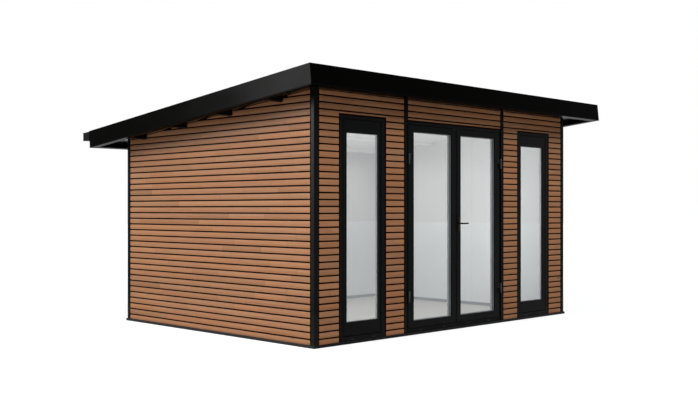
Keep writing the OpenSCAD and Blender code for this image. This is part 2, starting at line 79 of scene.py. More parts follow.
# ---------------------------------------------------------------- node helpers
class Tree:
    """Short ways to add nodes to a node tree."""

    def __init__(self, tree):
        self.tree = tree

    def link(self, source, target):
        self.tree.links.new(source, target)

    def add(self, kind, inputs=None, **settings):
        """A new node. An input is either a value or the socket that feeds it."""
        node = self.tree.nodes.new(kind)
        for key, value in settings.items():
            setattr(node, key, value)
        for key, value in (inputs or {}).items():
            if isinstance(value, bpy.types.NodeSocket):
                self.link(value, node.inputs[key])
            else:
                node.inputs[key].default_value = value
        return node

    def math(self, operation, a, b=0.0, clamp=False):
        node = self.add("ShaderNodeMath", {0: a, 1: b}, operation=operation, use_clamp=clamp)
        return node.outputs[0]

    def plus(self, a, b):
        return self.math("ADD", a, b)

    def minus(self, a, b):
        return self.math("SUBTRACT", a, b)

    def times(self, a, b, clamp=False):
        return self.math("MULTIPLY", a, b, clamp)

    def absolute(self, a):
        return self.math("ABSOLUTE", a)

    def above(self, a, limit):
        """1 where a is greater than limit, and 0 elsewhere."""
        return self.math("GREATER_THAN", a, limit)

    def seen_directly(self):
        """1 for rays from the camera, from a mirror or through clear glass, and 0 for the
        rays that light the scene."""
        rays = self.add("ShaderNodeLightPath").outputs
        bent = self.math("MAXIMUM", rays["Is Glossy Ray"], rays["Is Transmission Ray"])
        return self.math("MAXIMUM", rays["Is Camera Ray"], bent)


class Material(Tree):
    """A new material with a Principled shader, and the patterns that feed it."""

    def __init__(self, name, color, rough, spec=0.5, metal=0.0):
        self.material = bpy.data.materials.new(name)
        self.material.use_nodes = True
        self.material.diffuse_color = (*color, 1)
        super().__init__(self.material.node_tree)
        self.shader = self.tree.nodes["Principled BSDF"]
        self.shader.inputs["Base Color"].default_value = (*color, 1)
        self.shader.inputs["Roughness"].default_value = rough
        self.shader.inputs["Specular IOR Level"].default_value = spec
        self.shader.inputs["Metallic"].default_value = metal

    def place(self):
        return self.add("ShaderNodeTexCoord").outputs["Object"]

    def attribute(self, name):
        return self.add("ShaderNodeAttribute", attribute_name=name).outputs["Vector"]

    def axes(self, vector):
        parts = self.add("ShaderNodeSeparateXYZ", {0: vector}).outputs
        return parts[0], parts[1], parts[2]

    def scaled(self, vector, rates):
        node = self.add("ShaderNodeVectorMath", {0: vector, 1: rates}, operation="MULTIPLY")
        return node.outputs[0]

    def noise(self, vector, scale, detail=2.0, rough=0.5, distortion=0.0):
        values = {"Vector": vector, "Scale": scale, "Detail": detail, "Roughness": rough,
                  "Distortion": distortion}
        return self.add("ShaderNodeTexNoise", values).outputs["Fac"]

    def streaks(self, vector, rates, detail=2.0, rough=0.5, distortion=0.0):
        """Noise with a scale of its own along each axis."""
        return self.noise(self.scaled(vector, rates), 1.0, detail, rough, distortion)

    def remap(self, value, low, high, to_low=0.0, to_high=1.0):
        values = {"Value": value, "From Min": low, "From Max": high,
                  "To Min": to_low, "To Max": to_high}
        return self.add("ShaderNodeMapRange", values).outputs["Result"]

    def spread(self, noise, low=0.0, high=1.0):
        """Noise stretched to run from low to high, since it mostly stays in 0.3 to 0.7."""
        return self.remap(noise, 0.3, 0.7, low, high)

    def mix(self, share, color, other, blend="MIX"):
        """The share of other over color. A Mix node numbers its colour sockets 6, 7 and 2."""
        node = self.add("ShaderNodeMix", {0: share}, data_type="RGBA", blend_type=blend)
        for socket, value in ((6, color), (7, other)):
            if isinstance(value, bpy.types.NodeSocket):
                self.link(value, node.inputs[socket])
            else:
                node.inputs[socket].default_value = (*value, 1)
        return node.outputs[2]

    def grooves(self, along, spacing):
        """Distance from the nearest groove in a row, as a share of their spacing."""
        phase = self.math("FRACT", self.math("DIVIDE", along, spacing))
        return self.absolute(self.minus(phase, 0.5))

    def bump(self, height, strength, depth, under=None):
        values = {"Height": height, "Strength": strength, "Distance": depth}
        if under:
            values["Normal"] = under
        return self.add("ShaderNodeBump", values).outputs["Normal"]

    def finish(self, color, rough, normal):
        """Feeds the shader and hands the material back."""
        self.link(color, self.shader.inputs["Base Color"])
        self.link(rough, self.shader.inputs["Roughness"])
        self.link(normal, self.shader.inputs["Normal"])
        return self.material


def shades(color, low, high):
    """The colour made darker by the factor low and lighter by the factor high."""
    return tuple(v * low for v in color), tuple(v * high for v in color)


# ---------------------------------------------------------------- materials
def powder_coat(name, color, rough, spec, grain=0.25, dust=0.0, white_behind=None):
    """Fine-textured powder coat with a cloudy gloss. dust is the share of soil colour near the ground,
    soil splash and a painted reflection of the pale floor in one. Past the Y of white_behind the coat
    is white."""
    soil_and_reflection_top, soil = 0.35, (0.16, 0.14, 0.12)
    m = Material(name, color, rough, spec)
    place = m.place()
    x, y, z = m.axes(place)
    texture = m.noise(place, 700, 1.0)
    cloud = m.noise(place, 2.2, 3.0, 0.55)
    coat = m.mix(m.spread(cloud), *shades(color, 0.86, 1.14))
    # soil near the ground, which also paints in the pale floor's reflection on the lower parts
    if dust:
        low = m.remap(z, 0.0, soil_and_reflection_top, 1.0, 0.0)
        patches = m.remap(m.noise(place, 9, 4.0, 0.6), 0.35, 0.75, 0.15, 1.0)
        coat = m.mix(m.times(m.times(low, patches, clamp=True), dust), coat, soil)
    if white_behind is not None:
        coat = m.mix(m.above(y, white_behind), coat, (0.74, 0.745, 0.745))
    gloss = m.plus(m.spread(cloud, rough - 0.04, rough + 0.04), m.spread(texture, -0.03, 0.03))
    return m.finish(coat, gloss, m.bump(texture, grain, 0.0004))


def timber_material():
    """Heat-treated slats. Each board carries its own place in the log, grain, as the
    distances along, across and into it, and its tint: brightness, hue and how deep in the
    gap between two slats a point lies."""
    ring_rate = 2100.0                   # radians per metre, so a ring every 3 mm
    ring_warp, ring_wobble = 26.0, 3.0   # radians
    m = Material("slat_timber", (0.40, 0.21, 0.13), 0.62, 0.045)
    log = m.attribute("grain")
    bright, hue, gap = m.axes(m.attribute("tint"))
    across, into = m.axes(log)[1:]
    # growth rings round the log's middle
    warp = m.times(m.streaks(log, (1.3, 9.0, 9.0), 3.0, 0.55), ring_warp)
    wobble = m.times(m.streaks(log, (5.0, 40.0, 40.0)), ring_wobble)
    radius = m.math("SQRT", m.plus(m.times(across, across), m.times(into, into)))
    rings = m.plus(m.times(radius, ring_rate), m.plus(warp, wobble))
    late = m.math("POWER", m.remap(m.math("SINE", rings), -1.0, 1.0), 1.8)
    fibre = m.streaks(log, (14.0, 900.0, 900.0), 2.0, 0.6)
    streak = m.streaks(log, (1.6, 55.0, 55.0), 3.0, 0.6)
    # knots: rare dark ovals stretched along the grain
    cell = m.add("ShaderNodeTexVoronoi", {"Vector": m.scaled(log, (1.9, 6.5, 0.6)), "Scale": 1.0},
                 feature="F1").outputs
    knotty = m.above(m.axes(cell["Color"])[0], 0.72)
    oval = m.remap(m.minus(0.085, cell["Distance"]), 0.0, 0.05)
    knot = m.times(oval, knotty, clamp=True)
    wood = m.mix(hue, (0.445, 0.230, 0.118), (0.500, 0.228, 0.105))
    for share, shade in ((m.remap(streak, 0.35, 0.7, 0.0, 0.6), (0.375, 0.162, 0.072)),
                         (m.times(late, 0.24), (0.27, 0.108, 0.045)),
                         (m.remap(fibre, 0.35, 0.75, 0.0, 0.18), (0.23, 0.092, 0.040)),
                         (m.times(knot, 0.7), (0.105, 0.045, 0.024))):
        wood = m.mix(share, wood, shade)
    # darker towards the bottom: the lowest metre a little
    height = m.axes(m.place())[2]
    bright = m.times(bright, m.remap(height, 0.2, 1.2, 0.89, 1.0))
    level = m.add("ShaderNodeCombineColor", {0: bright, 1: bright, 2: bright}).outputs[0]
    wood = m.mix(1.0, wood, level, "MULTIPLY")
    # painted shade: the slats' sides turn dark red-brown with depth into the gaps between them
    wood = m.mix(m.remap(gap, 0.03, 0.16), wood, (0.055, 0.005, 0.0008))
    relief = m.plus(m.times(fibre, 0.5), m.times(late, -0.5))
    return m.finish(wood, m.spread(fibre, 0.52, 0.70), m.bump(relief, 0.35, 0.0006))


def panel_material():
    """Insulated panel: dark breather membrane on its outer faces, white lining inside."""
    setback = 0.021                      # the outer faces lie less than this behind the posts'
    lining, joint_half = 1.2, 0.0016     # width of a sheet, and half a joint as a share of it
    m = Material("wall_panel_faces", (0.8, 0.8, 0.79), 0.6, 0.015)
    place = m.place()
    x, y, z = m.axes(place)
    outside = m.math("MAXIMUM", m.above(m.absolute(x), walls_hi.x - setback),
                     m.above(m.absolute(y), walls_hi.y - setback))
    along = m.plus(m.plus(x, 60.0), m.plus(y, 0.15))
    joint = m.math("LESS_THAN", m.grooves(along, lining), joint_half)
    cloud = m.noise(place, 1.1, 3.0)
    roller = m.noise(place, 260, 2.0, 0.6)
    white = m.mix(m.spread(cloud), (0.64, 0.645, 0.645), (0.69, 0.695, 0.695))
    white = m.mix(m.times(joint, 0.55), white, (0.35, 0.35, 0.35))
    membrane = m.mix(m.noise(place, 320), (0.005, 0.002, 0.001), (0.010, 0.004, 0.002))
    relief = m.minus(m.times(roller, 0.15), joint)
    return m.finish(m.mix(outside, white, membrane), m.spread(roller, 0.55, 0.66),
                    m.bump(relief, 0.3, 0.0006))


def soffit_material():
    """Ceiling boards, white inside, and the glossy black sheet under the overhang."""
    past_room = 0.04                     # the finish changes over the walls, out of sight
    board = 0.12
    m = Material("soffit_boards", (0.75, 0.76, 0.76), 0.55, 0.34)
    place = m.place()
    x, y, z = m.axes(place)
    outside = m.math("MAXIMUM", m.above(m.absolute(x), room_hi.x + past_room),
                     m.above(m.absolute(y), room_hi.y + past_room))
    groove = m.remap(m.grooves(m.plus(x, 50.03), board), 0.0, 0.028, 1.0, 0.0)
    cloud = m.noise(place, 1.7, 3.0)
    boards = m.mix(cloud, (0.80, 0.80, 0.795), (0.84, 0.84, 0.835))
    boards = m.mix(m.times(groove, 0.45), boards, (0.25, 0.25, 0.25))
    sheet = m.mix(cloud, (0.008, 0.008, 0.0075), (0.012, 0.012, 0.011))
    relief = m.minus(m.times(m.streaks(place, (300, 8, 300)), 0.12), groove)
    rough = m.minus(m.spread(cloud, 0.5, 0.6), m.times(outside, 0.38))
    return m.finish(m.mix(outside, boards, sheet), rough, m.bump(relief, 0.25, 0.0008))


def floor_material():
    """Pale vinyl planks along the room's width."""
    m = Material("floor_planks", (0.62, 0.60, 0.57), 0.42, 0.4)
    place = m.place()
    planks = m.add("ShaderNodeTexBrick", {
        "Vector": place, "Scale": 1.0, "Brick Width": 1.22, "Row Height": 0.18,
        "Color1": (0.40, 0.375, 0.34, 1), "Color2": (0.45, 0.424, 0.385, 1),
        "Mortar": (0.30, 0.29, 0.28, 1), "Mortar Size": 0.0012, "Mortar Smooth": 0.4,
    }, offset=0.37).outputs
    grain = m.streaks(place, (6, 190, 60), 4.0, 0.6, 0.3)
    color = m.mix(m.remap(grain, 0.35, 0.75, 0.0, 0.28), planks["Color"], (0.43, 0.40, 0.36))
    relief = m.minus(m.times(grain, 0.2), planks["Fac"])
    return m.finish(color, m.spread(grain, 0.36, 0.48), m.bump(relief, 0.35, 0.0008))


def painted_timber(name, color, inside=None):
    """Stained timber whose grain runs along X, painted with the colour inside in the room."""
    m = Material(name, color, 0.5, 0.07)
    place = m.place()
    x, y, z = m.axes(place)
    grain = m.streaks(place, (7.0, 260.0, 260.0), 3.0, 0.6)
    cloud = m.noise(place, 3.0)
    paint = m.mix(grain, *shades(color, 0.75, 1.3))
    if inside:
        in_room = m.math("LESS_THAN", m.absolute(x), room_hi.x + 0.004)
        paint = m.mix(in_room, paint, m.mix(grain, *shades(inside, 0.95, 1.0)))
    return m.finish(paint, m.spread(cloud, 0.44, 0.56), m.bump(grain, 0.3, 0.0006))


def fascia_material():
    """Folded sheet with a satin black coat that has lost its gloss where it faces up."""
    m = Material("fascia_sheet", (0.0012, 0.0012, 0.0010), 0.25, 0.0045)
    place = m.place()
    cloud = m.streaks(place, (1.1, 1.1, 3.3), 3.0)
    texture = m.noise(place, 500, 1.0)
    waves = m.streaks(place, (1.6, 1.6, 0.7), 1.0)
    coat = m.mix(cloud, (0.0009, 0.0009, 0.0007), (0.0015, 0.0015, 0.0012))
    facing = m.axes(m.add("ShaderNodeTexCoord").outputs["Normal"])[2]
    dust = m.remap(facing, 0.6, 0.9)
    coat = m.mix(dust, coat, (0.020, 0.020, 0.020))
    rough = m.plus(m.spread(cloud, 0.20, 0.28), m.times(dust, 0.65))
    normal = m.bump(waves, 0.05, 0.02, m.bump(texture, 0.1, 0.0002))
    return m.finish(coat, rough, normal)


def membrane_material():
    """Rubber roof covering with chalky dust and faint run marks down the slope."""
    m = Material("rubber_roof", (0.035, 0.036, 0.038), 0.85, 0.03)
    place = m.place()
    dust = m.noise(place, 1.3, 5.0, 0.6)
    runs = m.streaks(place, (14.0, 0.9, 0.9), 3.0, 0.6)
    texture = m.noise(place, 240)
    rubber = m.mix(m.remap(dust, 0.35, 0.75, 0.0, 0.55), (0.026, 0.027, 0.029), (0.085, 0.083, 0.080))
    rubber = m.mix(m.remap(runs, 0.5, 0.8, 0.0, 0.35), rubber, (0.10, 0.098, 0.092))
    normal = m.bump(texture, 0.25, 0.0006, m.bump(dust, 0.25, 0.004))
    return m.finish(rubber, m.spread(dust, 0.78, 0.92), normal)


def glass_material():
    """Double glazing: its outer faces mirror a little, and lamps shine through it."""
    m = Material("pane_glass", (0.8, 0.9, 0.92), 0.0)
    m.tree.nodes.remove(m.shader)
    ripple = m.streaks(m.place(), (1.6, 1.6, 0.96), 1.0)
    clear = m.add("ShaderNodeBsdfTransparent", {"Color": (0.925, 0.932, 0.925, 1)})
    mirror = m.add("ShaderNodeBsdfGlossy", {"Color": (0.93, 0.97, 1.0, 1), "Roughness": 0.0,
                                           "Normal": m.bump(ripple, 0.012, 0.02)})
    slant = m.add("ShaderNodeFresnel", {"IOR": 2.6}).outputs[0]
    outer = m.minus(1.0, m.add("ShaderNodeNewGeometry").outputs["Backfacing"])
    glass = m.add("ShaderNodeMixShader", {0: m.times(slant, outer), 1: clear.outputs[0],
                                          2: mirror.outputs[0]})
    m.link(glass.outputs[0], m.tree.nodes["Material Output"].inputs["Surface"])
    return m.material


def rubber_material():
    m = Material("gasket_rubber", (0.010, 0.010, 0.011), 0.6, 0.25)
    texture = m.noise(m.place(), 420)
    rubber = m.mix(texture, (0.007, 0.007, 0.008), (0.016, 0.016, 0.017))
    return m.finish(rubber, m.spread(texture, 0.55, 0.72), m.bump(texture, 0.2, 0.0004))


def metal_material(name, color, rough):
    m = Material(name, color, rough, metal=1.0)
    texture = m.noise(m.place(), 160)
    metal = m.mix(texture, *shades(color, 0.85, 1.12))
    return m.finish(metal, m.spread(texture, rough - 0.06, rough + 0.06), m.bump(texture, 0.12, 0.0003))


BLACK_STAIN = (0.006, 0.0058, 0.0055)
MATERIALS = {
    # the record's slots
    "timber": timber_material(),
    "wall_panel": panel_material(),
    "glass": glass_material(),
    "black_trim": powder_coat("trim_coat", (0.0072, 0.0073, 0.0068), 0.36, 0.015, dust=0.12),
    "black_timber": painted_timber("purlin_paint", BLACK_STAIN, inside=(0.80, 0.80, 0.79)),
    "floor": floor_material(),
    "skirting": powder_coat("skirting_paint", (0.075, 0.076, 0.078), 0.45, 0.15, grain=0.15),
    "soffit": soffit_material(),
    "roof_covering": membrane_material(),
    "fascia": fascia_material(),
    "gutter": powder_coat("gutter_coat", (0.003, 0.003, 0.003), 0.34, 0.022, grain=0.2),
    "handle": metal_material("handle_metal", (0.020, 0.015, 0.012), 0.32),
    "hinge": metal_material("hinge_metal", (0.040, 0.040, 0.041), 0.40),
    "frame": powder_coat("frame_coat", (0.0038, 0.0040, 0.0039), 0.34, 0.026, grain=0.3,
                         dust=0.03, white_behind=WHITE_BEHIND),
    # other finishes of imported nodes
    "base": painted_timber("base_rail_paint", BLACK_STAIN),
    "threshold": powder_coat("threshold_coat", (0.0026, 0.0028, 0.0027), 0.34, 0.022, grain=0.3,
                             dust=0.03),
    # finishes of small pieces
    # the doors' reveal seal is pale: its colour paints the highlight of a reveal that mirrors the
    # bright pane
    "seal_painted_highlight": powder_coat("seal_painted_highlight", (0.20, 0.205, 0.205), 0.6, 0.3, grain=0.1),
    "seal_dark": powder_coat("seal_dark", (0.045, 0.046, 0.046), 0.6, 0.3, grain=0.1),
    "rubber": rubber_material(),
    # near-black and all but matt: paints the shadow in the gap round the windows' sashes
    "joint": powder_coat("painted_shadow_seal", (0.0006, 0.0006, 0.0006), 0.9, 0.002, grain=0.1),
    "spacer": powder_coat("spacer_bar", (0.62, 0.625, 0.625), 0.5, 0.4, grain=0.1),
}


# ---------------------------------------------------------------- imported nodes
FINISH_OF = {"base_frame": "base", "door_threshold": "threshold"}    # others take their slot's
EDGE_RADIUS = {"black_trim": 0.0012, "frame": 0.0012, "fascia": 0.0012, "black_timber": 0.002,
               "gutter": 0.0006, "skirting": 0.002, "hinge": 0.0005, "base": 0.0015}
ROUNDED = "corner_posts"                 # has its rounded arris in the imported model


def round_edges(piece, width, segments, angle):
    """Rounds the edges that turn by more than angle, in degrees."""
    bevel = piece.modifiers.new("edges", "BEVEL")
    bevel.width = width
    bevel.segments = segments
    bevel.limit_method = "ANGLE"
    bevel.angle_limit = math.radians(angle)
    return bevel


for name, node in nodes.items():
    finish = FINISH_OF.get(name, node.data.materials[0].name)
    for slot in node.material_slots:
        slot.material = MATERIALS[finish]
    if finish in EDGE_RADIUS and name != ROUNDED:
        node.modifiers.new("weld", "WELD").merge_threshold = 0.00001
        round_edges(node, EDGE_RADIUS[finish], 2, 40).harden_normals = True


# ---------------------------------------------------------------- mesh helpers
HAIR = 0.001                             # points closer than this lie on one face


def new_piece(name, verts, faces, finish, body, sharp, attributes=None):
    """A mesh that rides on a body. It is shaded smooth apart from edges that turn by more
    than sharp, in degrees. attributes holds lists of three numbers a vertex, by name."""
    mesh = bpy.data.meshes.new(name)
    mesh.from_pydata([tuple(v) for v in verts], [], faces)
    mesh.update()
    mesh.materials.append(MATERIALS[finish])
    for key, values in (attributes or {}).items():
        mesh.attributes.new(key, "FLOAT_VECTOR", "POINT").data.foreach_set("vector", values)
    mesh.shade_smooth()
    mesh.set_sharp_from_angle(angle=math.radians(sharp))
    piece = bpy.data.objects.new(name, mesh)
    scene.collection.objects.link(piece)
    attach(piece, body)
    return piece


def tube_faces(base, rings, sides):
    """Faces of a closed tube through rings of vertices that start at the number base."""
    faces = []
    for ring in range(rings - 1):
        for side in range(sides):
            a = base + ring * sides + side
            b = base + ring * sides + (side + 1) % sides
            faces.append((a, b, b + sides, a + sides))
    last = base + (rings - 1) * sides
    faces.append(tuple(base + side for side in reversed(range(sides))))
    faces.append(tuple(last + side for side in range(sides)))
    return faces


def points_of(name):
    return [v.co for v in nodes[name].data.vertices]


def clusters(values, gap):
    """Numbers that lie closer together than gap, as pairs of the lowest and the highest."""
    pairs = []
    for value in sorted(values):
        if pairs and value - pairs[-1][1] < gap:
            pairs[-1][1] = value
        else:
            pairs.append([value, value])
    return pairs


def line_through(y0, z0, y1, z1, drop):
    """The line through two points, lowered by drop, as a function from Y to Z."""
    slope = (z1 - z0) / (y1 - y0)
    return lambda y: z0 + (y - y0) * slope - drop


# ---------------------------------------------------------------- slats
class Slats:
    """Slats of one wall. The wall runs along axis, 0 for X or 1 for Y. Its outer face lies
    at the plane out, and inward is the sign of the direction to the room."""

    PITCH = 0.062                        # from one slat's lower edge to the next one's
    FACE = 0.0487                        # height of a whole slat
    FIRST = 0.0200                       # lower edge of the lowest slat, if it were whole
    LIFT = 0.0005                        # the lowest slat stands this much off the base rail
    THICK = CLADDING - 0.0006            # leaves a hair's breadth to the panel
    ROUND = 0.0028                       # radius of a slat's long edges
    CUT_ROUND = 0.0008                   # the same, where a slat is cut along its length
    CHAMFER = 0.0007                     # chamfer of a slat's ends
    GAP = 0.0006                         # half of a butt joint
    LEAST = 0.006                        # height of the narrowest strip that is fitted
    TAPER_TIP = 0.004                    # height at which a tapering slat ends
    SNIP = 0.002                         # two cuts across a board are further apart than this
    LENGTHS = (0.45, 0.6, 0.9, 1.2, 1.5)
    LENGTH_SPREAD = (0.85, 1.15)         # a length varies between these factors
    ROW_START = (0.15, 0.9)              # the first length of a row lies between these
    SHORTEST = 0.14                      # a row doesn't end in less than this

    def __init__(self, name, axis, out, inward, seed):
        self.name = name
        self.axis = axis
        self.out = out
        self.inward = inward
        self.rng = random.Random(seed)
        self.verts, self.faces, self.grain, self.tint = [], [], [], []

    def rows(self, low, high):
        """Lower and upper edges of the slats of a wall from low to high. The last one may
        reach past high."""
        for k in range(math.ceil((high - self.FIRST) / self.PITCH)):
            edge = self.FIRST + self.PITCH * k
            yield max(edge, low + self.LIFT), edge + self.FACE

    def lengths(self, start, end):
        """Boards between start and end, with butt joints at random places."""
        rng = self.rng
        marks = [start]
        at = start + rng.uniform(*self.ROW_START)
        while at < end - self.SHORTEST:
            marks.append(at)
            at += rng.choice(self.LENGTHS) * rng.uniform(*self.LENGTH_SPREAD)
        marks.append(end)
        return [(p + self.GAP, q - self.GAP) for p, q in zip(marks, marks[1:])]

    def style(self):
        """What sets one board apart: its place in the log, and its brightness and hue. Now
        and then a board stands out."""
        rng = self.rng
        bright = rng.gauss(1.0, 0.045)
        if rng.random() < 0.08:
            bright *= rng.choice((0.87, 0.91, 1.07))
        return {"along": rng.uniform(-40, 40), "across": rng.uniform(-0.05, 0.05),
                "into": rng.uniform(0.012, 0.075), "tilt": rng.uniform(-0.006, 0.006),
                "tone": (max(0.8, min(1.15, bright)), rng.random())}

    def edge(self, z, upward, radius, inset):
        """Half of a slat's cross-section, from its back round one long edge to its face, as
        pairs of height and depth. inset is how far the end's chamfer has pulled it in."""
        bend = 0.3 * radius
        return [(z, self.THICK), (z + upward * inset, radius),
                (z + upward * (bend + inset), bend + 0.5 * inset),
                (z + upward * (radius + inset), inset)]

    def piece(self, start, end, z0, z1, style, top=None, ends=(True, True)):
        """One length of slat. top(u) is the height that cuts it where it is lower than z1,
        and ends says which of its two ends are chamfered."""
        stations = [(start, self.CHAMFER), (start + self.CHAMFER, 0.0)] if ends[0] else [(start, 0.0)]
        stations += [(end - self.CHAMFER, 0.0), (end, self.CHAMFER)] if ends[1] else [(end, 0.0)]
        base = len(self.verts)
        for u, inset in stations:
            high = min(z1, top(u)) if top else z1
            radius = self.ROUND if high > z1 - 1e-6 else self.CUT_ROUND
            section = self.edge(z0, 1, self.ROUND, inset)
            section += reversed(self.edge(high, -1, radius, inset))
            for z, depth in section:
                w = self.out + self.inward * depth
                self.verts.append((w, u, z) if self.axis else (u, w, z))
                across = style["across"] + z - (z0 + z1) / 2 + style["tilt"] * u
                self.grain += [style["along"] + u, across, style["into"] + depth]
                # the third number, depth into the slat, paints shade on its sides in the gaps
                self.tint += [*style["tone"], depth / self.THICK]
        outward = (self.axis == 0) == (self.inward > 0)
        for face in tube_faces(base, len(stations), len(section)):
            self.faces.append(face if outward else face[::-1])

    def sloped(self, start, end, z0, z1, style, line, ends):
        """A slat under the sloping line: whole, tapered or absent."""
        a, b = line(start), line(end)
        tip = z0 + self.TAPER_TIP
        if min(a, b) >= z1:
            self.piece(start, end, z0, z1, style, None, ends)
            return
        if max(a, b) <= tip:
            return
        # the slat is cut where the line meets its top and where its tip would be
        slope = (b - a) / (end - start)
        cuts = [start + (level - a) / slope for level in (z1, tip)]
        stops = [start, *sorted(u for u in cuts if start + self.SNIP < u < end - self.SNIP), end]
        for p, q in zip(stops, stops[1:]):
            middle = line((p + q) / 2)
            if middle > tip:
                self.piece(p, q, z0, z1, style, None if middle >= z1 else line,
                           (ends[0] and p == start, ends[1] and q == end))

    def build(self, replaced):
        piece = new_piece(self.name, self.verts, self.faces, "timber", "building", 32,
                          {"grain": self.grain, "tint": self.tint})
        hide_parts(replaced)


def soffit_line():
    """Where the side walls' slats end under the soffit, from the ends of their cladding."""
    clear = 0.0008
    tops = {}
    for point in points_of("right_cladding"):
        y = round(point.y, 3)
        tops[y] = max(tops.get(y, 0), point.z)
    y0, y1 = min(tops), max(tops)
    return line_through(y0, tops[y0], y1, tops[y1], clear)


def purlin_notches():
    """Start, end and underside of each purlin along Y, with the slats' clearance. Purlins
    are further apart than spacing."""
    clear, spacing = 0.001, 0.3
    corners = {(round(p.z, 5), round(p.y, 5)) for p in points_of("purlins")}
    notches = []
    for start, end in clusters({y for z, y in corners}, spacing):
        (z0, y0), (z1, y1) = sorted(c for c in corners if start <= c[1] <= end)[:2]
        notches.append((start - clear, end + clear, line_through(y0, z0, y1, z1, clear)))
    return notches


SOFFIT = soffit_line()
NOTCHES = purlin_notches()
PURLIN_REACH = 0.06                      # no purlin hangs further than this below the soffit


def under_roof(start, end):
    """Stretches of a board, each with the line that it ends under: a purlin's underside
    where one crosses the wall, and else the soffit."""
    stretches = []
    at = start
    for notch_start, notch_end, underside in NOTCHES:
        if notch_end <= start or notch_start >= end:
            continue
        if notch_start > at + Slats.SNIP:
            stretches.append((at, notch_start, SOFFIT))
        stretches.append((max(at, notch_start), min(end, notch_end), underside))
        at = notch_end
    if at < end - Slats.SNIP:
        stretches.append((at, end, SOFFIT))
    return stretches


def side_slats(side, sign, seed):
    wall = Slats(side + "_slats", 1, sign * side_hi.x, -sign, seed)
    for z0, z1 in wall.rows(side_lo.z, side_hi.z):
        for start, end in wall.lengths(side_lo.y, side_hi.y):
            style = wall.style()
            if min(SOFFIT(start), SOFFIT(end)) - PURLIN_REACH > z1:
                wall.piece(start, end, z0, z1, style)
                continue
            for p, q, line in under_roof(start, end):
                wall.sloped(p, q, z0, z1, style, line, (p == start, q == end))
    wall.build(side + "_cladding")


def back_slats(seed):
    under_soffit = 0.0008
    lo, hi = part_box("back_cladding")
    wall = Slats("back_slats", 0, hi.y, -1, seed)
    for z0, z1 in wall.rows(lo.z, hi.z):
        z1 = min(z1, hi.z - under_soffit)
        if z1 - z0 < Slats.LEAST:
            continue
        for start, end in wall.lengths(lo.x, hi.x):
            wall.piece(start, end, z0, z1, wall.style())
    wall.build("back_cladding")


def front_edges():
    """Edges of the cladding on the front's right half. The two that are dropped end the
    piece over the window, half a millimetre inside the window's edges."""
    edges = sorted({round(p.x, 4) for p in points_of("front_cladding") if p.x > 0})
    door, pier, window_start, _, _, window_end, corner = edges
    return door, pier, window_start, window_end, corner


def short_slats(wall, start, end, sign, z0, z1):
    """A slat beside a window, which is now and then butted from two lengths."""
    butted, shortest = 0.12, 0.07
    stops = [start, end]
    if wall.rng.random() < butted:
        stops.insert(1, wall.rng.uniform(start + shortest, end - shortest))
    for p, q in zip(stops, stops[1:]):
        low, high = sorted((sign * p, sign * q))
        wall.piece(low + wall.GAP, high - wall.GAP, z0, z1, wall.style())


def slat_over_window(wall, start, end, z0, z1, window, lintel):
    """A length of slat that is notched along its lower edge where it passes the window."""
    style = wall.style()
    if z0 >= lintel:
        wall.piece(start, end, z0, z1, style)
        return
    snip = 0.003
    stops = [start, *(w for w in window if start + snip < w < end - snip), end]
    for p, q in zip(stops, stops[1:]):
        over = window[0] < (p + q) / 2 < window[1]
        wall.piece(p, q, lintel if over else z0, z1, style, None, (p == start, q == end))


def front_slats(seed):
    door, pier, window_start, window_end, corner = front_edges()
    under_soffit = 0.0025
    lintel = min(p.z for p in points_of("front_cladding") if abs(p.x) < door + HAIR)
    top = front_hi.z - under_soffit
    wall = Slats("front_slats", 0, front_lo.y, 1, seed)
    for z0, z1 in wall.rows(front_lo.z, top):
        z1 = min(z1, top)
        if z1 - z0 < Slats.LEAST:
            continue
        for sign in (-1, 1):
            if z1 <= lintel:
                short_slats(wall, pier, window_start, sign, z0, z1)
                short_slats(wall, window_end, corner, sign, z0, z1)
                continue
            window = sorted((sign * window_start, sign * window_end))
            for start, end in wall.lengths(*sorted((sign * pier, sign * corner))):
                slat_over_window(wall, start, end, z0, z1, window, lintel)
        if z1 > lintel:
            for start, end in wall.lengths(-door, door):
                wall.piece(start, end, max(z0, lintel), z1, wall.style())
    wall.build("front_cladding")


side_slats("left", -1, 11)
side_slats("right", 1, 23)
back_slats(37)
front_slats(53)


# ---------------------------------------------------------------- small parts
FRONT, BACK = (0, -1, 0), (0, 1, 0)


